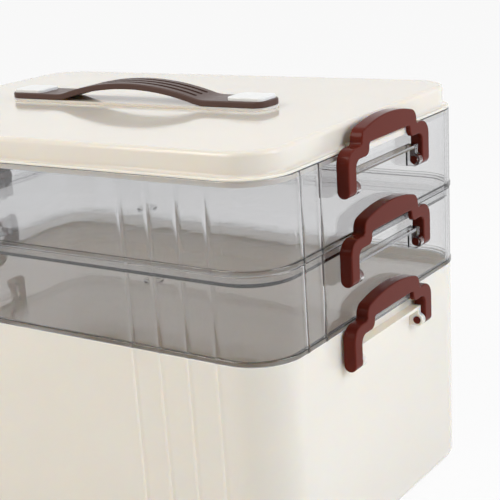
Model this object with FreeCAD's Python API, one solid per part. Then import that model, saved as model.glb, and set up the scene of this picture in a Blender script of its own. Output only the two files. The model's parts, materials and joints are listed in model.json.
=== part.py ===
import FreeCAD, Part
import math
import os

# A three-tier clip box: a deep base, two clear trays and a lid stand on one another.
# Millimetres, +Z up, +X along the long side, origin at the middle of the underside.

# Outside of the box
WIDTH = 360.0
DEPTH = 248.0
CORNER_RADIUS = 30.0
BASE_HEIGHT = 148.0
TRAY_HEIGHT = 53.0
LID_HEIGHT = 15.2
LID_INSET = 3.7
LID_EDGE_RADIUS = 3.0
BASE_EDGE_RADIUS = 8.0

# Walls and floors
BASE_WALL = 2.4
BASE_FLOOR = 2.6
TRAY_WALL = 2.0
TRAY_FLOOR = 2.2
LID_WALL = 2.2

# Beads: thin upright ridges on the outside of the walls, beside the two front corners
BEAD_PITCH = 20.45
BEAD_CREST_RADIUS = 1.0
BEAD_FLANK_RADIUS = 9.0
BEAD_RISE = 0.45
BEAD_END_RADIUS = 6.0
FRONT_BEAD_COUNT = 4
FRONT_BEAD_GAP = 8.5
END_BEAD_COUNT = 2
END_BEAD_GAP = 6.0

# How one tier stands in the next
NEST_DEPTH = 7.0
NEST_CLEARANCE = 0.4
FOOT_EDGE_RADIUS = 1.4
LID_LIP = 3.7
LID_FLANGE = 1.6
FLANGE_INSET = 0.2
FLANGE_EDGE_RADIUS = 0.5
LID_ROOT_RADIUS = 2.0
BAND_HEIGHT = 3.4
BAND_PROUD = 0.6
SEAM_EDGE_RADIUS = 0.8

# Ring left by the moulding gate in the middle of each tray floor
GATE_RING_DIAMETER = 14.0
GATE_RING_WIDTH = 2.0
GATE_RING_HEIGHT = 1.2

# Latch, measured from the seam that it closes
LATCH_WIDTH = 102.4
LATCH_RISE = 16.5
LATCH_DEPTH = 8.4
LATCH_GAP = 1.2
LATCH_PLATE = 2.8
LATCH_RIM = 2.0
LATCH_EDGE_RADIUS = 0.9
LEG_WIDTH = 9.3
SHOULDER_RISE = 3.2
SHOULDER_DROP = 4.0
SHOULDER_RADIUS = 9.2
SHOULDER_RUN = 5.0
ARCH_CORNER_RADIUS = 7.0
NECK_RUN = 0.3
NOTCH_RADIUS = 2.4
WINDOW_MARGIN = 9.0
WINDOW_RADIUS = 2.2
WINDOW_FOOT_RADIUS = 5.0
LEG_INNER_RADIUS = 5.0

# Latch pivot, its bracket on the lower tier and the catch on the upper tier
PIVOT_DROP = 20.6
PIN_DIAMETER = 5.0
PIN_CLEARANCE = 0.08
PIN_PROUD = 0.2
POST_WIDTH = 4.0
POST_RADIUS = 4.2
LEG_CLEARANCE = 0.3
PLATE_CLEARANCE = 0.4
SHELF_DROP = 11.4
SHELF_THICKNESS = 2.0
CATCH_HEIGHT = 3.2
CATCH_HANG = 2.0
CATCH_NOSE = 1.4
CATCH_BEVEL = 1.4
CATCH_END_GAP = 1.0
HOOK_OVERLAP = 1.1
HOOK_CLEARANCE = 0.2
HOOK_HEIGHT = 2.0

# Carrying strap, the raised pad below it, and the two end caps with their screws
STRAP_LENGTH = 217.0
STRAP_WIDTH = 25.0
STRAP_THICKNESS = 4.0
STRAP_END_RADIUS = 9.0
STRAP_EDGE_RADIUS = 0.9
ARCH_SPAN = 130.0
ARCH_RISE = 9.2
ARCH_BEND_RADIUS = 40.0
PAD_HEIGHT = 1.8
GROOVE_COUNT = 3
GROOVE_PITCH = 6.2
GROOVE_WIDTH = 3.0
GROOVE_DEPTH = 0.9
GROOVE_LENGTH = 108.0
CAP_LENGTH = 27.0
CAP_WIDTH = 20.0
CAP_THICKNESS = 2.2
CAP_RADIUS = 4.0
CAP_EDGE_RADIUS = 0.8
CAP_END_MARGIN = 2.5
STEM_DIAMETER = 6.0
STEM_SPACING = 14.0
STEM_CLEARANCE = 0.2
SCREW_DIAMETER = 2.6
SCREW_CLEARANCE = 0.05
SCREW_LENGTH = 6.5
SCREW_HEAD_DIAMETER = 7.4
SCREW_HEAD_HEIGHT = 2.0
SCREW_RECESS_WIDTH = 1.0
SCREW_RECESS_LENGTH = 4.2
SCREW_RECESS_DEPTH = 1.1

# Places that follow from the sizes above
LOW_SEAM = BASE_HEIGHT
MIDDLE_SEAM = LOW_SEAM + TRAY_HEIGHT
TOP_SEAM = MIDDLE_SEAM + TRAY_HEIGHT
LID_TOP = TOP_SEAM + LID_HEIGHT
PAD_TOP = LID_TOP + PAD_HEIGHT
STRAP_TOP = PAD_TOP + STRAP_THICKNESS
BEAD_SPREAD = BEAD_CREST_RADIUS + BEAD_FLANK_RADIUS
BEAD_HALF = math.sqrt(BEAD_RISE * (2 * BEAD_SPREAD - BEAD_RISE))
END_FACE = WIDTH / 2
PIVOT_X = END_FACE + LATCH_GAP + LATCH_DEPTH / 2
LATCH_BACK = END_FACE + LATCH_GAP
LATCH_FRONT = LATCH_BACK + LATCH_DEPTH
PLATE_BACK = LATCH_FRONT - LATCH_PLATE
CATCH_REACH = PLATE_BACK - PLATE_CLEARANCE
LEG_INNER = LATCH_WIDTH / 2 - LEG_WIDTH
ARCH_WIDTH = LATCH_WIDTH - 2 * (SHOULDER_RADIUS + SHOULDER_RUN + NOTCH_RADIUS)
WINDOW_WIDTH = ARCH_WIDTH - 2 * WINDOW_MARGIN
POST_OUTER = LEG_INNER - LEG_CLEARANCE
POST_INNER = POST_OUTER - POST_WIDTH
CATCH_HALF = ARCH_WIDTH / 2 - LATCH_RIM - CATCH_END_GAP
WINDOW_TOP = CATCH_HEIGHT + HOOK_CLEARANCE
CAP_MIDDLE = STRAP_LENGTH / 2 - CAP_END_MARGIN - CAP_LENGTH / 2

# Overrun of cutting tools, smallest length that counts, and the greatest share of the
# room beside it that a rounded corner may take
SPARE = 1.0
TINY = 1e-4
CORNER_SHARE = 0.9

V = FreeCAD.Vector
ORIGIN = V(0, 0, 0)
UP = V(0, 0, 1)
ACROSS = V(0, 1, 0)


# Small drawing helpers

def line(a, b):
    return Part.LineSegment(a, b).toShape()


def arc(a, b, c):
    return Part.Arc(a, b, c).toShape()


def box(x_range, y_range, z_range):
    x0, x1 = x_range
    y0, y1 = y_range
    z0, z1 = z_range
    return Part.makeBox(x1 - x0, y1 - y0, z1 - z0, V(x0, y0, z0))


def prism(wire, bottom, top):
    face = Part.Face(wire)
    face.translate(UP * bottom)
    return face.extrude(UP * (top - bottom))


def fuse(shapes):
    return shapes[0].multiFuse(shapes[1:]).removeSplitter()


def level_edges(shape, height):
    def lies_level(edge):
        return all(abs(vertex.Z - height) < TINY for vertex in edge.Vertexes)
    return [edge for edge in shape.Edges if lies_level(edge)]


def front_edges(shape, front):
    def lies_in_front(edge):
        return all(abs(vertex.X - front) < TINY for vertex in edge.Vertexes)
    return [edge for edge in shape.Edges if lies_in_front(edge)]


def both_ends(shape):
    turned = shape.copy()
    turned.rotate(ORIGIN, UP, 180)
    return [shape, turned]


def rounded_rectangle(length, width, radius, middle=0.0):
    x = length / 2
    y = width / 2
    slant = radius * (1 - math.sqrt(0.5))
    corners = []
    for sx, sy in ((1, -1), (1, 1), (-1, 1), (-1, -1)):
        at_x = V(middle + sx * x, sy * (y - radius), 0)
        at_y = V(middle + sx * (x - radius), sy * y, 0)
        half_way = V(middle + sx * (x - slant), sy * (y - slant), 0)
        first, last = (at_y, at_x) if sx == -sy else (at_x, at_y)
        corners.append((first, half_way, last))
    edges = []
    for number, (first, half_way, last) in enumerate(corners):
        following = corners[(number + 1) % len(corners)][0]
        edges.append(arc(first, half_way, last))
        if last.distanceToPoint(following) > TINY:
            edges.append(line(last, following))
    return Part.Wire(edges)


# Plan of the walls

def bead_row(half, gap, count, free):
    """Distances of a row of beads from the wall's middle, counted in from the corner."""
    first = half - CORNER_RADIUS - gap
    fitting = 1 + math.floor((first - free) / BEAD_PITCH)
    return [first - number * BEAD_PITCH for number in range(min(count, fitting))]


def wall_beads(side, front_beads, end_beads):
    """Middles of the beads on one wall: 0 is the front, 1 the right end, 3 the left end."""
    if side == 0 and front_beads:
        row = bead_row(WIDTH / 2, FRONT_BEAD_GAP, FRONT_BEAD_COUNT, BEAD_PITCH / 2)
        return sorted(row + [-along for along in row])
    if side in (1, 3) and end_beads:
        free = LATCH_WIDTH / 2 + BEAD_HALF
        row = bead_row(DEPTH / 2, END_BEAD_GAP, END_BEAD_COUNT, free)
        return sorted(along * (side - 2) for along in row)
    return []


def bead_arcs(middle, inset):
    """Flank, crest and flank of a bead as (start, middle, end) points, along the wall and out."""
    slope = math.asin(BEAD_HALF / BEAD_SPREAD)

    def on_crest(angle):
        radius = BEAD_CREST_RADIUS - inset
        return (middle + radius * math.sin(angle), BEAD_RISE - BEAD_CREST_RADIUS + radius * math.cos(angle))

    def on_flank(side, angle):
        radius = BEAD_FLANK_RADIUS + inset
        along = middle + side * (BEAD_HALF - radius * math.sin(angle))
        return (along, BEAD_FLANK_RADIUS - radius * math.cos(angle))

    return [
        [on_flank(-1, 0), on_flank(-1, slope / 2), on_crest(-slope)],
        [on_crest(-slope), on_crest(0), on_crest(slope)],
        [on_crest(slope), on_flank(1, slope / 2), on_flank(1, 0)],
    ]


def outline(inset, front_beads=False, end_beads=False):
    """Closed plan of the box, moved inward by inset."""
    edges = []
    for side in range(4):
        long_side = side % 2 == 0
        half = (WIDTH if long_side else DEPTH) / 2
        reach = (DEPTH if long_side else WIDTH) / 2
        turn = math.radians(90 * side)
        run = V(math.cos(turn), math.sin(turn), 0)
        outward = V(math.sin(turn), -math.cos(turn), 0)

        def place(along, out):
            return run * along + outward * (reach + out)

        here = place(-(half - CORNER_RADIUS), -inset)
        for bead in wall_beads(side, front_beads, end_beads):
            for points in bead_arcs(bead, inset):
                start, middle, end = [place(*point) for point in points]
                if here.distanceToPoint(start) > TINY:
                    edges.append(line(here, start))
                edges.append(arc(start, middle, end))
                here = end
        corner = place(half - CORNER_RADIUS, -inset)
        edges.append(line(here, corner))
        centre = place(half - CORNER_RADIUS, -CORNER_RADIUS)
        radius = CORNER_RADIUS - inset
        half_way = centre + (run + outward) * (radius * math.sqrt(0.5))
        edges.append(arc(corner, half_way, centre + run * radius))
    return Part.Wire(edges)


def rounded_prism(wire, bottom, top, bottom_radius=0.0, top_radius=0.0):
    block = prism(wire, bottom, top)
    if bottom_radius > 0:
        block = block.makeFillet(bottom_radius, level_edges(block, bottom))
    if top_radius > 0:
        block = block.makeFillet(top_radius, level_edges(block, top))
    return block


# Latch bracket and catch, both on the +X end wall

def bracket(seam, wall):
    """Shelf and two posts below the seam, on the lower tier."""
    root = END_FACE - wall / 2
    pivot_z = seam - PIVOT_DROP
    shelf_top = seam - SHELF_DROP
    shelf_low = shelf_top - SHELF_THICKNESS
    reach = (root, CATCH_REACH)
    pieces = [box(reach, (-POST_OUTER, POST_OUTER), (shelf_low, shelf_top))]
    for low in (-POST_OUTER, POST_INNER):
        sides = (low, low + POST_WIDTH)
        pieces.append(box(reach, sides, (pivot_z, shelf_low)))
        pieces.append(box((root, PIVOT_X), sides, (pivot_z - POST_RADIUS, pivot_z)))
        pieces.append(Part.makeCylinder(POST_RADIUS, POST_WIDTH, V(PIVOT_X, low, pivot_z), ACROSS))
    return fuse(pieces)


def pin_holes(seam):
    radius = PIN_DIAMETER / 2 + PIN_CLEARANCE
    start = V(PIVOT_X, -LATCH_WIDTH / 2, seam - PIVOT_DROP)
    return Part.makeCylinder(radius, LATCH_WIDTH, start, ACROSS)


def catch(seam, root):
    """Bevelled ledge on the upper tier that the latch hooks over; its nose hangs past the seam."""
    hang_back = END_FACE + NEST_CLEARANCE
    section = [
        (root, 0), (hang_back, 0), (hang_back, -CATCH_HANG), (CATCH_REACH, -CATCH_HANG),
        (CATCH_REACH, CATCH_NOSE), (CATCH_REACH - CATCH_BEVEL, CATCH_HEIGHT),
        (root, CATCH_HEIGHT), (root, 0),
    ]
    points = [V(x, -CATCH_HALF, seam + z) for x, z in section]
    return Part.Face(Part.makePolygon(points)).extrude(ACROSS * (2 * CATCH_HALF))


# Tiers

def base_box():
    shell = rounded_prism(outline(0), 0, LOW_SEAM, BASE_EDGE_RADIUS, SEAM_EDGE_RADIUS)
    beaded = rounded_prism(outline(0, True), BASE_EDGE_RADIUS, LOW_SEAM, 0, SEAM_EDGE_RADIUS)
    bead_ends = rounded_prism(outline(-BEAD_RISE), BASE_EDGE_RADIUS, LOW_SEAM, BEAD_END_RADIUS)
    shell = fuse([shell, beaded.common(bead_ends)] + both_ends(bracket(LOW_SEAM, BASE_WALL)))
    inner_radius = max(BASE_EDGE_RADIUS - BASE_WALL, SPARE)
    hollow = rounded_prism(outline(BASE_WALL), BASE_FLOOR, LOW_SEAM + SPARE, inner_radius)
    return shell.cut([hollow] + both_ends(pin_holes(LOW_SEAM)))


def tray(seam, lower_wall):
    top = seam + TRAY_HEIGHT
    foot_inset = lower_wall + NEST_CLEARANCE
    foot_low = seam - NEST_DEPTH
    foot_floor = foot_low + TRAY_FLOOR
    band_wire = outline(-BAND_PROUD, True, True)
    walls = [
        rounded_prism(outline(0, True, True), seam, top, 0, SEAM_EDGE_RADIUS),
        rounded_prism(band_wire, seam, seam + BAND_HEIGHT, SEAM_EDGE_RADIUS, SEAM_EDGE_RADIUS),
        rounded_prism(outline(foot_inset), foot_low, seam, FOOT_EDGE_RADIUS),
    ]
    fittings = both_ends(bracket(top, TRAY_WALL))
    fittings += both_ends(catch(seam, END_FACE - TRAY_WALL / 2))
    hollow = prism(outline(TRAY_WALL), seam + TRAY_FLOOR, top + SPARE)
    foot_hollow = prism(outline(foot_inset + TRAY_WALL), foot_floor, seam + TRAY_FLOOR + SPARE)
    shell = fuse(walls + fittings).cut([hollow, foot_hollow] + both_ends(pin_holes(top)))
    radius = GATE_RING_DIAMETER / 2
    floor_middle = V(0, 0, foot_floor)
    ring = Part.makeCylinder(radius, GATE_RING_HEIGHT, floor_middle)
    ring = ring.cut(Part.makeCylinder(radius - GATE_RING_WIDTH, GATE_RING_HEIGHT, floor_middle))
    return fuse([shell, ring])


def lid_cover():
    """Raised middle of the lid, hollowed out to a flange that covers the top tray's rim."""
    flange_top = TOP_SEAM + LID_FLANGE
    rim = outline(FLANGE_INSET)
    flange = rounded_prism(rim, TOP_SEAM, flange_top, FLANGE_EDGE_RADIUS, FLANGE_EDGE_RADIUS)
    raised = rounded_prism(outline(LID_INSET), TOP_SEAM, LID_TOP, 0, LID_EDGE_RADIUS)
    cover = fuse([flange, raised])
    side_x = END_FACE - LID_INSET + TINY
    side_y = DEPTH / 2 - LID_INSET + TINY

    def at_root(edge):
        return all(abs(end.X) < side_x and abs(end.Y) < side_y for end in edge.Vertexes)

    root = [edge for edge in level_edges(cover, flange_top) if at_root(edge)]
    return cover.makeFillet(LID_ROOT_RADIUS, root)


def lid():
    lip_inset = TRAY_WALL + NEST_CLEARANCE
    under_top = LID_TOP - LID_WALL
    pieces = [
        lid_cover(),
        prism(outline(lip_inset), TOP_SEAM - LID_LIP, TOP_SEAM),
        prism(strap_plan(), under_top, PAD_TOP),
    ]
    pieces += both_ends(catch(TOP_SEAM, END_FACE - LID_INSET - LID_WALL / 2))
    inner_radius = max(LID_EDGE_RADIUS - LID_WALL, SPARE)
    lip_hollow = prism(outline(lip_inset + LID_WALL), TOP_SEAM - LID_LIP - SPARE, TOP_SEAM)
    inside = outline(LID_INSET + LID_WALL)
    hollow = rounded_prism(inside, TOP_SEAM - SPARE, under_top, 0, inner_radius)
    return fuse(pieces).cut([lip_hollow, hollow] + stems(STEM_CLEARANCE, under_top - SPARE))


# Carrying strap

def strap_plan():
    return rounded_rectangle(STRAP_LENGTH, STRAP_WIDTH, STRAP_END_RADIUS)


def strap_line(height):
    """Lengthwise line of the strap, height above its underside, from -X to +X."""
    half_span = ARCH_SPAN / 2
    slope = 2 * math.atan(ARCH_RISE / half_span)
    crown_radius = half_span / math.sin(slope) - ARCH_BEND_RADIUS + height
    bend_radius = ARCH_BEND_RADIUS - height
    low = PAD_TOP + height
    crown_z = PAD_TOP + ARCH_RISE + height - crown_radius
    bend_z = low + bend_radius

    def on_bend(side, angle):
        x = half_span - bend_radius * math.sin(angle)
        return V(side * x, 0, bend_z - bend_radius * math.cos(angle))

    start, middle, end = [on_bend(-1, slope * share) for share in (0, 0.5, 1)]
    far_end, far_middle, far_start = [on_bend(1, slope * share) for share in (1, 0.5, 0)]
    tip = STRAP_LENGTH / 2
    return [
        line(V(-tip, 0, low), start),
        arc(start, middle, end),
        arc(end, V(0, 0, crown_z + crown_radius), far_end),
        arc(far_end, far_middle, far_start),
        line(far_start, V(tip, 0, low)),
    ]


def strap_layer(bottom, top, width):
    """Part of the strap's thickness between two heights above its underside."""
    lower = strap_line(bottom)
    upper = strap_line(top)
    tip = STRAP_LENGTH / 2
    ends = [line(V(x, 0, PAD_TOP + bottom), V(x, 0, PAD_TOP + top)) for x in (-tip, tip)]
    face = Part.Face(Part.Wire(Part.__sortEdges__(lower + upper + ends)))
    face.translate(ACROSS * (-width / 2))
    return face.extrude(ACROSS * width)


def strap_rim(strap):
    """Edges that run round the strap's upper and lower faces."""
    tip = STRAP_LENGTH / 2

    def runs_round(edge):
        ends = [vertex.Point for vertex in edge.Vertexes]
        level_x = max(p.x for p in ends) - min(p.x for p in ends) < TINY
        upright = level_x and max(p.y for p in ends) - min(p.y for p in ends) < TINY
        crossing = level_x and abs(ends[0].x) < tip - TINY
        return not upright and not crossing

    return [edge for edge in strap.Edges if runs_round(edge)]


def handle_strap():
    over = PAD_TOP + ARCH_RISE + STRAP_THICKNESS + SPARE
    plan = prism(strap_plan(), PAD_TOP - SPARE, over)
    strap = strap_layer(0, STRAP_THICKNESS, STRAP_WIDTH + SPARE).common(plan)
    strap = strap.makeFillet(STRAP_EDGE_RADIUS, strap_rim(strap))
    channel = strap_layer(STRAP_THICKNESS - GROOVE_DEPTH, STRAP_THICKNESS + SPARE, STRAP_WIDTH)
    slot_plan = rounded_rectangle(GROOVE_LENGTH, GROOVE_WIDTH, GROOVE_WIDTH / 2)
    slot = prism(slot_plan, PAD_TOP, over + SPARE)
    grooves = []
    for number in range(GROOVE_COUNT):
        groove = slot.copy()
        groove.translate(ACROSS * ((number - (GROOVE_COUNT - 1) / 2) * GROOVE_PITCH))
        grooves.append(channel.common(groove))
    return strap.cut(grooves + stems(STEM_CLEARANCE, PAD_TOP - SPARE))


def stem_places():
    places = []
    for side in (-1, 1):
        for step in (-1, 1):
            places.append(V(side * CAP_MIDDLE + step * STEM_SPACING / 2, 0, 0))
    return places


def stems(clearance, bottom):
    """Round stems below the caps, or the holes for them when there is a clearance."""
    radius = STEM_DIAMETER / 2 + clearance
    top = STRAP_TOP + SPARE
    return [Part.makeCylinder(radius, top - bottom, place + UP * bottom) for place in stem_places()]


def handle_cap(side):
    plate = prism(
        rounded_rectangle(CAP_LENGTH, CAP_WIDTH, CAP_RADIUS, side * CAP_MIDDLE),
        STRAP_TOP, STRAP_TOP + CAP_THICKNESS)
    plate = plate.makeFillet(CAP_EDGE_RADIUS, level_edges(plate, STRAP_TOP + CAP_THICKNESS))
    own = [stem for stem in stems(0, LID_TOP - LID_WALL) if stem.CenterOfMass.x * side > 0]
    return fuse([plate] + own).cut(screw_shanks(SCREW_CLEARANCE))


def screw_shanks(clearance):
    radius = SCREW_DIAMETER / 2 + clearance
    length = SCREW_LENGTH + clearance
    rise = UP * (LID_TOP - LID_WALL)
    return [Part.makeCylinder(radius, length, place + rise) for place in stem_places()]


def handle_screws():
    screws = []
    under = LID_TOP - LID_WALL - SCREW_HEAD_HEIGHT
    for place, shank in zip(stem_places(), screw_shanks(0)):
        head = Part.makeCylinder(SCREW_HEAD_DIAMETER / 2, SCREW_HEAD_HEIGHT, place + UP * under)
        long = SCREW_RECESS_LENGTH / 2
        short = SCREW_RECESS_WIDTH / 2
        for x, y in ((long, short), (short, long)):
            depth = (under, under + SCREW_RECESS_DEPTH)
            head = head.cut(box((place.x - x, place.x + x), (place.y - y, place.y + y), depth))
        screws.append(head.fuse(shank).removeSplitter())
    return Part.makeCompound(screws)


# Latch

def arch_corner():
    """Radius and centre height of the arch's upper corners, and the radius of its dome."""
    centre = SHOULDER_RISE + NOTCH_RADIUS + NECK_RUN
    rise = LATCH_RISE - centre
    radius = min(ARCH_CORNER_RADIUS, CORNER_SHARE * rise)
    across = ARCH_WIDTH / 2 - radius
    dome = (across ** 2 + rise ** 2 - radius ** 2) / (2 * (rise - radius))
    return radius, centre, dome


def crown_half(inset):
    """Outer edge of the latch, from a leg up to the middle of the dome, moved in by inset."""
    leg = LATCH_WIDTH / 2
    neck = ARCH_WIDTH / 2
    radius, corner_z, dome = arch_corner()
    dome_z = LATCH_RISE - dome
    shoulder = (leg - SHOULDER_RADIUS, SHOULDER_RISE - SHOULDER_RADIUS)
    notch = (neck + NOTCH_RADIUS, SHOULDER_RISE + NOTCH_RADIUS)
    corner = (neck - radius, corner_z)
    meet = math.atan2(corner_z - dome_z, neck - radius)

    def turn(centre, length, angle):
        return (centre[0] + length * math.cos(angle), centre[1] + length * math.sin(angle))

    shoulder_radius = SHOULDER_RADIUS - inset
    notch_radius = NOTCH_RADIUS + inset
    corner_radius = radius - inset
    quarter = math.pi / 2
    dome_half = (meet + quarter) / 2
    return [
        [(leg - inset, -PIVOT_DROP), (leg - inset, shoulder[1])],
        [turn(shoulder, shoulder_radius, quarter * share) for share in (0, 0.5, 1)],
        [(shoulder[0], SHOULDER_RISE - inset), (notch[0], SHOULDER_RISE - inset)],
        [turn(notch, notch_radius, -quarter * share) for share in (1, 1.5, 2)],
        [(neck - inset, notch[1]), (neck - inset, corner_z)],
        [turn(corner, corner_radius, meet * share) for share in (0, 0.5, 1)],
        [turn((0, dome_z), dome - inset, angle) for angle in (meet, dome_half, quarter)],
    ]


def window_half():
    """Inner edge of the latch, from the middle of the window down to a leg."""
    half = WINDOW_WIDTH / 2
    low = -SHOULDER_DROP
    drop = WINDOW_TOP - low
    radius = min(WINDOW_RADIUS, CORNER_SHARE * drop / 2)
    foot = min(WINDOW_FOOT_RADIUS, CORNER_SHARE * (drop - radius))
    share = 1 - math.sqrt(0.5)
    slant = radius * share
    foot_slant = foot * share
    leg_slant = LEG_INNER_RADIUS * share
    leg_low = low - LEG_INNER_RADIUS
    leg_start = (LEG_INNER - LEG_INNER_RADIUS, low)
    return [
        [(0, WINDOW_TOP), (half - radius, WINDOW_TOP)],
        [(half - radius, WINDOW_TOP), (half - slant, WINDOW_TOP - slant), (half, WINDOW_TOP - radius)],
        [(half, WINDOW_TOP - radius), (half, low + foot)],
        [(half, low + foot), (half + foot_slant, low + foot_slant), (half + foot, low)],
        [(half + foot, low), leg_start],
        [leg_start, (LEG_INNER - leg_slant, low - leg_slant), (LEG_INNER, leg_low)],
        [(LEG_INNER, leg_low), (LEG_INNER, -PIVOT_DROP)],
    ]


def latch_edges(half):
    """Edges of a half outline and of its mirror image, as (across, up) points."""
    edges = []
    for side in (-1, 1):
        for points in half:
            drawn = [V(0, side * across, up) for across, up in points]
            edges.append(line(*drawn) if len(drawn) == 2 else arc(*drawn))
    return edges


def latch_slab(edges, back, front):
    face = Part.Face(Part.Wire(Part.__sortEdges__(edges)))
    face.translate(V(back, 0, 0))
    return face.extrude(V(front - back, 0, 0))


def foot_lines(pairs):
    return [line(V(0, a, -PIVOT_DROP), V(0, b, -PIVOT_DROP)) for a, b in pairs]


def latch(seam):
    """Latch on the +X end: a domed plate with a rim, two legs, their pins and the hook."""
    leg = LATCH_WIDTH / 2
    feet = [(-leg, -LEG_INNER), (LEG_INNER, leg)]
    shape_edges = latch_edges(crown_half(0)) + latch_edges(window_half()) + foot_lines(feet)
    plate = latch_slab(shape_edges, PLATE_BACK, LATCH_FRONT)
    full = latch_slab(shape_edges, LATCH_BACK, PLATE_BACK)
    outer_edges = latch_edges(crown_half(0)) + foot_lines([(-leg, leg)])
    outer = latch_slab(outer_edges, LATCH_BACK, PLATE_BACK)
    inner_leg = leg - LATCH_RIM
    inner_edges = latch_edges(crown_half(LATCH_RIM)) + foot_lines([(-inner_leg, inner_leg)])
    inner = latch_slab(inner_edges, LATCH_BACK, PLATE_BACK)
    pieces = [plate, outer.cut(inner)]
    depth = (LATCH_BACK, PLATE_BACK)
    hook_half = WINDOW_WIDTH / 2 - WINDOW_RADIUS
    hook_depth = (CATCH_REACH - HOOK_OVERLAP, PLATE_BACK)
    pieces.append(box(hook_depth, (-hook_half, hook_half), (WINDOW_TOP, WINDOW_TOP + HOOK_HEIGHT)))
    pin_length = LEG_INNER - POST_INNER + PIN_PROUD
    for side, low in ((-1, -leg), (1, LEG_INNER)):
        legs_only = box(depth, (low, low + LEG_WIDTH), (-PIVOT_DROP, SHOULDER_RISE))
        pieces.append(full.common(legs_only))
        pivot = V(PIVOT_X, low, -PIVOT_DROP)
        pieces.append(Part.makeCylinder(LATCH_DEPTH / 2, LEG_WIDTH, pivot, ACROSS))
        pin_start = -LEG_INNER if side < 0 else LEG_INNER - pin_length
        pin_base = V(PIVOT_X, pin_start, -PIVOT_DROP)
        pieces.append(Part.makeCylinder(PIN_DIAMETER / 2, pin_length, pin_base, ACROSS))
    shape = fuse(pieces)
    shape = shape.makeFillet(LATCH_EDGE_RADIUS, front_edges(shape, LATCH_FRONT))
    shape.translate(UP * seam)
    return shape


def main():
    nodes = {
        "base_box": base_box(),
        "middle_tray": tray(LOW_SEAM, BASE_WALL),
        "top_tray": tray(MIDDLE_SEAM, TRAY_WALL),
        "lid": lid(),
        "handle_strap": handle_strap(),
        "handle_cap_left": handle_cap(-1),
        "handle_cap_right": handle_cap(1),
        "handle_screws": handle_screws(),
    }
    for tier, seam in (("base", LOW_SEAM), ("middle", MIDDLE_SEAM), ("top", TOP_SEAM)):
        right, left = both_ends(latch(seam))
        nodes[tier + "_latch_right"] = right
        nodes[tier + "_latch_left"] = left
    os.makedirs("parts", exist_ok=True)
    for name, shape in nodes.items():
        shape.exportStep("parts/" + name + ".step")
        sizes = shape.optimalBoundingBox(False)
        print(name, "solids", len(shape.Solids), "valid", shape.isValid(),
              "volume", round(shape.Volume, 1), "z", round(sizes.ZMin, 2), round(sizes.ZMax, 2))


main()
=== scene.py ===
# %% [markdown]
# # A three-tier clip box
# A household storage box: a deep ivory base, two smoke-tinted trays and an ivory lid stand on
# one another, and red-brown latches on both ends clip each tier to the next. The shapes come
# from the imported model, in metres, each piece where it belongs. This script gives them their
# finishes, then sets up the floor, the light and the camera.

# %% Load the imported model
import bpy
import json
import math
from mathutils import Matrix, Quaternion, Vector

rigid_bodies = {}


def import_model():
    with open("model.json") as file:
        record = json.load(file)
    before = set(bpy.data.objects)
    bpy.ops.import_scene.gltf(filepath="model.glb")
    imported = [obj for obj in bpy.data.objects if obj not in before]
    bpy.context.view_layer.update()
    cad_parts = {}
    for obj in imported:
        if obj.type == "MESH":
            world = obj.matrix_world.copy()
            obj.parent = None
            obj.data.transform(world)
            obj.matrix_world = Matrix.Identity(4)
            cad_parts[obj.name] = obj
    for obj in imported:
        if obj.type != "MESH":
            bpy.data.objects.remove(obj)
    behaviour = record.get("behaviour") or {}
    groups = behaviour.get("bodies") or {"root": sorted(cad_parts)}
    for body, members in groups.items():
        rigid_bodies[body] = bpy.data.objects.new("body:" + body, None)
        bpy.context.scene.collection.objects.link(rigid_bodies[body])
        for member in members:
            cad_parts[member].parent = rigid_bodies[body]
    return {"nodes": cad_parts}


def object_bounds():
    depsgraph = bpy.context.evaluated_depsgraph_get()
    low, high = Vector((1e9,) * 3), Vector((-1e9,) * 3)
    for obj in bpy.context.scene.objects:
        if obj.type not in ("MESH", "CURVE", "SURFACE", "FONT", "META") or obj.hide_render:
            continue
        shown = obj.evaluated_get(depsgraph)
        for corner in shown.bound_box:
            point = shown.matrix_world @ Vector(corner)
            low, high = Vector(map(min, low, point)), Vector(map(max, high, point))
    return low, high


for leftover in list(bpy.data.objects):
    bpy.data.objects.remove(leftover)
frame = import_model()
nodes = frame["nodes"]
cad_low, cad_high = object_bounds()
print("pieces:", len(nodes), "box in mm:", [round(1000 * x, 1) for x in cad_high - cad_low])

# %% [markdown]
# ## Tools for the finishes
# Colours are written as the hex values that a colour picker shows. Blender's shaders count in
# linear light, so one function turns hex into linear. A second one adds a shader node with its
# settings, its socket values and its links, so that each finish below reads as a short list.
# Patterns are sized in millimetres on the real thing: a noise of scale 1 has features about one
# metre wide, so the scale is 1000 divided by the size in millimetres.

# %% Hex colours, nodes and pattern sizes
def linear(hex_colour):
    channels = [int(hex_colour[i:i + 2], 16) / 255 for i in (1, 3, 5)]
    return [c / 12.92 if c <= 0.04045 else ((c + 0.055) / 1.055) ** 2.4 for c in channels] + [1.0]


def add_node(tree, kind, settings=None, values=None, links=None):
    node = tree.nodes.new(kind)
    for name, value in (settings or {}).items():
        setattr(node, name, value)
    for socket, value in (values or {}).items():
        node.inputs[socket].default_value = value
    for socket, source in (links or {}).items():
        tree.links.new(source, node.inputs[socket])
    return node


def scale_for(millimetres):
    return 1000 / millimetres


def empty_tree(owner):
    owner.use_nodes = True
    owner.node_tree.nodes.clear()
    return owner.node_tree


print("mid grey in linear light:", round(linear("#808080")[0], 3))

# %% [markdown]
# ## Moulded plastic in one recipe
# Every opaque piece here is injection moulded: hot plastic is pressed into a polished steel
# mould. Up close such a surface is never one flat colour. The pigment is mixed a little
# unevenly, the polish varies where the mould was rubbed or the piece was handled, and the skin
# has a faint waviness, like orange peel. All three could be painted as images, but noise in the
# piece's own coordinates has no seams and stays sharp at any distance, so the recipe uses that.
# Pale plastic also lets light in and out again a few millimetres further on, which softens its
# shadows. The recipe calls that reach the glow, and dark pieces have none.

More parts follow.
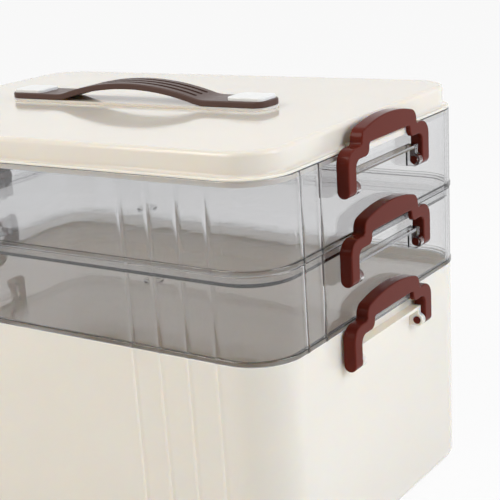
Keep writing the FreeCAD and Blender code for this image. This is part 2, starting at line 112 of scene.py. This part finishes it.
# %% Recipe for moulded plastic
def moulded_plastic(name, pigment, streak, polish, ior, cloud_mm, peel_mm, peel_depth_mm,
                    specular=0.5, glow_mm=0.0):
    material = bpy.data.materials.new(name)
    tree = empty_tree(material)
    place = add_node(tree, "ShaderNodeTexCoord").outputs["Object"]
    cloud = add_node(tree, "ShaderNodeTexNoise", {},
                     {"Scale": scale_for(cloud_mm), "Detail": 3.0, "Roughness": 0.55},
                     {"Vector": place})
    colour = add_node(tree, "ShaderNodeMix", {"data_type": "RGBA"},
                      {"A": linear(pigment), "B": linear(streak)}, {"Factor": cloud.outputs["Fac"]})
    rub = add_node(tree, "ShaderNodeTexNoise", {},
                   {"Scale": scale_for(cloud_mm / 4), "Detail": 5.0, "Roughness": 0.6},
                   {"Vector": place})
    gloss = add_node(tree, "ShaderNodeMapRange", {},
                     {"From Min": 0.3, "From Max": 0.7, "To Min": polish[0], "To Max": polish[1]},
                     {"Value": rub.outputs["Fac"]})
    peel = add_node(tree, "ShaderNodeTexNoise", {},
                    {"Scale": scale_for(peel_mm), "Detail": 2.0}, {"Vector": place})
    skin = add_node(tree, "ShaderNodeBump", {},
                    {"Strength": 1.0, "Distance": peel_depth_mm / 1000}, {"Height": peel.outputs["Fac"]})
    plastic = add_node(tree, "ShaderNodeBsdfPrincipled", {},
                       {"IOR": ior, "Specular IOR Level": specular,
                        "Subsurface Weight": 1.0 if glow_mm else 0.0, "Subsurface Scale": glow_mm / 1000,
                        "Subsurface Radius": (1.0, 0.8, 0.55)},
                       {"Base Color": colour.outputs["Result"], "Roughness": gloss.outputs["Result"],
                        "Normal": skin.outputs["Normal"]})
    add_node(tree, "ShaderNodeOutputMaterial", {}, {}, {"Surface": plastic.outputs["BSDF"]})
    return material


def finish_nodes(names, material):
    for name in names:
        nodes[name].material_slots[0].material = material
    print(material.name, "on", ", ".join(names))


# %% [markdown]
# ## Ivory lid and base
# The lid and the base are ivory polypropylene. The lid's mould is polished bright, so the lid
# mirrors the carrying strap as a soft grey band. The base comes from a plainer mould and
# mirrors less. The pigments are nearly the same, and the polish is what tells them apart.

# %% Ivory polypropylene
lid_ivory = moulded_plastic("polypropylene_ivory_polished", "#ebe4da", "#e7dfd4", (0.06, 0.11),
                            ior=1.49, cloud_mm=45, peel_mm=5, peel_depth_mm=0.004, glow_mm=4.0)
finish_nodes(["lid"], lid_ivory)
base_ivory = moulded_plastic("polypropylene_ivory_satin", "#efe8de", "#ebe3d8", (0.16, 0.24),
                             ior=1.49, cloud_mm=60, peel_mm=4, peel_depth_mm=0.006, glow_mm=4.0)
finish_nodes(["base_box"], base_ivory)

# %% [markdown]
# ## Smoke-tinted trays
# The trays are clear styrene-acrylonitrile with a little grey dye. The tint is in the plastic,
# not on it: a thin wall looks pale and an edge, where the eye looks through a long way, looks
# dark. So the surface is a clear glass-like skin, and the dye is absorption inside the solid.
# Where the eye only grazes the skin, the skin's colour is turned towards dark grey. That is painted
# edge shade, laid on top of the dye, for the dark lines that clear plastic shows at its edges.
# A layer weight finds those places from any side.
# Light from the lamps would have to find its way through the skin by chance, which makes
# grain, so rays to the lamps and rays that bounce off matt surfaces pass straight through.

# %% Smoke-tinted styrene-acrylonitrile
WALL_PASSES = 0.87
TRAY_WALL_MM = 2.0
HANDLING_MM = 14
FLOW_MM = 18
FLOW_DEPTH_MM = 0.06
EDGE_SHADE_STARTS = 1 - math.cos(math.radians(73))
EDGE_SHADE_FULL = 1 - math.cos(math.radians(84))


def smoke_styrene(name):
    material = bpy.data.materials.new(name)
    tree = empty_tree(material)
    place = add_node(tree, "ShaderNodeTexCoord").outputs["Object"]
    rub = add_node(tree, "ShaderNodeTexNoise", {},
                   {"Scale": scale_for(HANDLING_MM), "Detail": 5.0, "Roughness": 0.6}, {"Vector": place})
    gloss = add_node(tree, "ShaderNodeMapRange", {},
                     {"From Min": 0.35, "From Max": 0.75, "To Min": 0.015, "To Max": 0.05},
                     {"Value": rub.outputs["Fac"]})
    flow = add_node(tree, "ShaderNodeTexNoise", {}, {"Scale": scale_for(FLOW_MM), "Detail": 1.0},
                    {"Vector": place})
    skin = add_node(tree, "ShaderNodeBump", {}, {"Strength": 1.0, "Distance": FLOW_DEPTH_MM / 1000},
                    {"Height": flow.outputs["Fac"]})
    # Painted edge shade: the skin's colour runs from white to dark grey where the eye grazes it.
    look = add_node(tree, "ShaderNodeLayerWeight", {}, {"Blend": 0.5})
    edge_shade_share = add_node(tree, "ShaderNodeMapRange", {"interpolation_type": "SMOOTHSTEP"},
                    {"From Min": EDGE_SHADE_STARTS, "From Max": EDGE_SHADE_FULL}, {"Value": look.outputs["Facing"]})
    painted_edge_shade = add_node(tree, "ShaderNodeMix", {"data_type": "RGBA"},
                    {"A": linear("#ffffff"), "B": linear("#3c3e40")}, {"Factor": edge_shade_share.outputs["Result"]})
    clear = add_node(tree, "ShaderNodeBsdfPrincipled", {}, {"IOR": 1.57, "Transmission Weight": 1.0},
                     {"Base Color": painted_edge_shade.outputs["Result"], "Roughness": gloss.outputs["Result"],
                      "Normal": skin.outputs["Normal"]})
    passing = add_node(tree, "ShaderNodeBsdfTransparent", {}, {"Color": linear("#fafafb")})
    ray = add_node(tree, "ShaderNodeLightPath")
    straight = add_node(tree, "ShaderNodeMath", {"operation": "MAXIMUM"}, {},
                        {0: ray.outputs["Is Shadow Ray"], 1: ray.outputs["Is Diffuse Ray"]})
    skin_or_pass = add_node(tree, "ShaderNodeMixShader", {}, {},
                            {0: straight.outputs["Value"], 1: clear.outputs["BSDF"],
                             2: passing.outputs["BSDF"]})
    density = -math.log(WALL_PASSES) / (TRAY_WALL_MM / 1000)
    dye = add_node(tree, "ShaderNodeVolumeAbsorption", {},
                   {"Color": (0.0, 0.01, 0.05, 1.0), "Density": density})
    add_node(tree, "ShaderNodeOutputMaterial", {}, {},
             {"Surface": skin_or_pass.outputs["Shader"], "Volume": dye.outputs["Volume"]})
    return material


finish_nodes(["middle_tray", "top_tray"], smoke_styrene("styrene_acrylonitrile_smoke"))

# %% [markdown]
# ## Red-brown latches
# The six latches are red-brown ABS, moulded in a polished tool. ABS takes a deep, even pigment
# and a clean gloss, so the edges catch thin bright lines. The mirror level is set low, because
# the white floor would otherwise lie over the brown as a grey veil.

# %% Red-brown ABS
latch_names = sorted(name for name in nodes if "_latch_" in name)
latch_brown = moulded_plastic("abs_red_brown_polished", "#632318", "#5d2117", (0.10, 0.16),
                              ior=1.53, cloud_mm=20, peel_mm=2.5, peel_depth_mm=0.003, specular=0.08)
finish_nodes(latch_names, latch_brown)

# %% [markdown]
# ## Carrying strap and caps
# The strap is dark brown polypropylene, soft enough to bend up into a grip. Its two end caps
# are pale grey and hide the stems that go through the lid. Both come from plainer moulds than
# the lid, so the moulded recipe fits them with a rougher polish.

# %% Strap and caps
strap_brown = moulded_plastic("polypropylene_dark_brown_satin", "#5c4741", "#54403a", (0.28, 0.38),
                              ior=1.49, cloud_mm=18, peel_mm=1.6, peel_depth_mm=0.006, specular=0.15)
finish_nodes(["handle_strap"], strap_brown)
cap_grey = moulded_plastic("polypropylene_pale_grey_satin", "#f3f4f3", "#eef0ef", (0.18, 0.26),
                           ior=1.49, cloud_mm=12, peel_mm=1.6, peel_depth_mm=0.004)
finish_nodes(["handle_cap_left", "handle_cap_right"], cap_grey)

# %% [markdown]
# ## Screws under the lid
# Below the lid, small zinc-plated screws hold the stems of the caps. Plating is metal all over,
# with no pigment and no glow, so it has a short recipe of its own, and noise of under a
# millimetre gives it grain.

# %% Zinc-plated steel
GRAIN_MM = 0.8


def zinc_plated_steel(name):
    material = bpy.data.materials.new(name)
    tree = empty_tree(material)
    place = add_node(tree, "ShaderNodeTexCoord").outputs["Object"]
    grain = add_node(tree, "ShaderNodeTexNoise", {}, {"Scale": scale_for(GRAIN_MM), "Detail": 4.0},
                     {"Vector": place})
    colour = add_node(tree, "ShaderNodeMix", {"data_type": "RGBA"},
                      {"A": linear("#b4b8bd"), "B": linear("#d3d5d8")}, {"Factor": grain.outputs["Fac"]})
    gloss = add_node(tree, "ShaderNodeMapRange", {}, {"To Min": 0.25, "To Max": 0.45},
                     {"Value": grain.outputs["Fac"]})
    steel = add_node(tree, "ShaderNodeBsdfPrincipled", {}, {"Metallic": 1.0},
                     {"Base Color": colour.outputs["Result"], "Roughness": gloss.outputs["Result"]})
    add_node(tree, "ShaderNodeOutputMaterial", {}, {}, {"Surface": steel.outputs["BSDF"]})
    return material


finish_nodes(["handle_screws"], zinc_plated_steel("steel_zinc_plated"))

# %% [markdown]
# ## Floor
# The box stands on a wide pale floor. The eye should see a white sheet with a faint shadow, so
# for rays from the camera, and for those that gloss or clear plastic sends on, most of the
# floor's colour is plain white and the rest is lit, which keeps the shadow.

# %% Pale floor
FLOOR_HALF = 4.0
FLOOR_WHITE_SHARE = 0.9


def seen_rays(tree):
    ray = add_node(tree, "ShaderNodeLightPath")
    mirrored = add_node(tree, "ShaderNodeMath", {"operation": "MAXIMUM"}, {},
                        {0: ray.outputs["Is Glossy Ray"], 1: ray.outputs["Is Transmission Ray"]})
    seen = add_node(tree, "ShaderNodeMath", {"operation": "MAXIMUM"}, {},
                    {0: ray.outputs["Is Camera Ray"], 1: mirrored.outputs["Value"]})
    return seen.outputs["Value"]


def make_floor():
    corners = [(x * FLOOR_HALF, y * FLOOR_HALF, 0) for x, y in ((-1, -1), (1, -1), (1, 1), (-1, 1))]
    mesh = bpy.data.meshes.new("floor")
    mesh.from_pydata(corners, [], [(0, 1, 2, 3)])
    floor = bpy.data.objects.new("floor", mesh)
    bpy.context.scene.collection.objects.link(floor)
    material = bpy.data.materials.new("studio_floor_white")
    tree = empty_tree(material)
    paper = add_node(tree, "ShaderNodeBsdfDiffuse", {}, {"Color": linear("#f2f2f2")})
    white = add_node(tree, "ShaderNodeEmission", {}, {"Color": linear("#ffffff"), "Strength": 1.0})
    share = add_node(tree, "ShaderNodeMath", {"operation": "MULTIPLY"}, {1: FLOOR_WHITE_SHARE},
                     {0: seen_rays(tree)})
    shown = add_node(tree, "ShaderNodeMixShader", {}, {},
                     {0: share.outputs["Value"], 1: paper.outputs["BSDF"], 2: white.outputs["Emission"]})
    add_node(tree, "ShaderNodeOutputMaterial", {}, {}, {"Surface": shown.outputs["Shader"]})
    mesh.materials.append(material)
    return floor


floor = make_floor()
print("floor, metres across:", 2 * FLOOR_HALF)

# %% [markdown]
# ## Light
# A studio for pale goods: a white surround, a large soft lamp beside the right-hand end and
# higher than the box, and a second one at the front left. The room behind the camera is unlit.
# A dark side is what gives clear plastic its crisp edges: an edge bends the eye's ray back
# towards the camera, so it shows the unlit room as a dark line. It also leaves the faces that
# look that way in shade, which shows the form. Where the camera sees the surround itself, it is
# plain white.

# %% Surround and lamps
AMBIENT = 0.56
DARK_SIDE = Vector((0.62, -0.76, 0.2)).normalized()
DARK_SIDE_LIGHT = 0.03
DARK_SIDE_INNER = math.cos(math.radians(40))
DARK_SIDE_OUTER = math.cos(math.radians(70))
SOFTBOX_SIZE = (0.9, 0.9)


def make_surround():
    world = bpy.data.worlds.new("studio_surround")
    bpy.context.scene.world = world
    tree = empty_tree(world)
    way = add_node(tree, "ShaderNodeTexCoord").outputs["Generated"]
    towards = add_node(tree, "ShaderNodeVectorMath", {"operation": "DOT_PRODUCT"}, {1: DARK_SIDE}, {0: way})
    room = add_node(tree, "ShaderNodeMapRange", {"interpolation_type": "SMOOTHSTEP"},
                    {"From Min": DARK_SIDE_OUTER, "From Max": DARK_SIDE_INNER,
                     "To Min": 1.0, "To Max": DARK_SIDE_LIGHT}, {"Value": towards.outputs["Value"]})
    level = add_node(tree, "ShaderNodeMapRange", {}, {"To Min": AMBIENT, "To Max": 1.0},
                     {"Value": seen_rays(tree)})
    strength = add_node(tree, "ShaderNodeMath", {"operation": "MULTIPLY"}, {},
                        {0: room.outputs["Result"], 1: level.outputs["Result"]})
    studio = add_node(tree, "ShaderNodeBackground", {}, {"Color": linear("#ffffff")},
                      {"Strength": strength.outputs["Value"]})
    white = add_node(tree, "ShaderNodeBackground", {}, {"Color": linear("#ffffff"), "Strength": 1.0})
    ray = add_node(tree, "ShaderNodeLightPath")
    shown = add_node(tree, "ShaderNodeMixShader", {}, {},
                     {0: ray.outputs["Is Camera Ray"], 1: studio.outputs["Background"],
                      2: white.outputs["Background"]})
    add_node(tree, "ShaderNodeOutputWorld", {}, {}, {"Surface": shown.outputs["Shader"]})


def make_lamp(name, place, target, size, watts, tone):
    data = bpy.data.lights.new(name, "AREA")
    data.shape = "RECTANGLE"
    data.size, data.size_y = size
    data.energy = watts
    data.color = linear(tone)[:3]
    lamp = bpy.data.objects.new(name, data)
    lamp.location = place
    lamp.rotation_mode = "QUATERNION"
    lamp.rotation_quaternion = (Vector(target) - Vector(place)).to_track_quat("-Z", "Y")
    bpy.context.scene.collection.objects.link(lamp)
    print("lamp", name, "at", place, watts, "W")


make_surround()
middle = (cad_low + cad_high) / 2
make_lamp("softbox_right", place=(1.35, 0.1, 0.8), target=middle, size=SOFTBOX_SIZE, watts=13.0,
          tone="#f4f8ff")
make_lamp("softbox_left", place=(-0.5, -1.1, 1.2), target=middle, size=SOFTBOX_SIZE, watts=14.0,
          tone="#fffaf4")

# %% [markdown]
# ## Camera
# The picture is taken from the front right, a little above the box, with a longish lens and the
# camera tilted to one side by a few degrees. The frame cuts off the left end and the foot of
# the box, as a close product picture does. A small shift slides the frame without turning the
# camera, so that the tiers keep their upright lines.

# %% Camera
CAMERA_PLACE = Vector((0.5248, -0.6389, 0.3994))
CAMERA_AZIMUTH = 36.81
CAMERA_ELEVATION = 18.83
CAMERA_ROLL = -4.47
LENS_MM = 87.8
SENSOR_MM = 36.0
SHIFT = (0.08, 0.12)


def make_camera():
    azimuth, elevation = math.radians(CAMERA_AZIMUTH), math.radians(CAMERA_ELEVATION)
    ahead = Vector((-math.sin(azimuth) * math.cos(elevation),
                    math.cos(azimuth) * math.cos(elevation), -math.sin(elevation)))
    data = bpy.data.cameras.new("camera")
    data.sensor_width = SENSOR_MM
    data.lens = LENS_MM
    data.shift_x, data.shift_y = SHIFT
    data.clip_start, data.clip_end = 0.01, 50.0
    camera = bpy.data.objects.new("camera", data)
    camera.location = CAMERA_PLACE
    camera.rotation_mode = "QUATERNION"
    roll = Quaternion((0, 0, 1), math.radians(CAMERA_ROLL))
    camera.rotation_quaternion = ahead.to_track_quat("-Z", "Y") @ roll
    bpy.context.scene.collection.objects.link(camera)
    bpy.context.scene.camera = camera


make_camera()
print("camera", [round(1000 * x) for x in CAMERA_PLACE], "mm, lens", LENS_MM, "mm")

# %% [markdown]
# ## View and bounces
# Colours are shown as they are, with the plain Standard transform. Rays may pass through many
# walls of the clear trays before they end, so they get more bounces than usual.

# %% Finish
scene = bpy.context.scene
scene.view_settings.view_transform = "Standard"
scene.cycles.max_bounces = 24
scene.cycles.transmission_bounces = 24
scene.cycles.transparent_max_bounces = 48
scene.cycles.caustics_reflective = False
scene.cycles.caustics_refractive = False
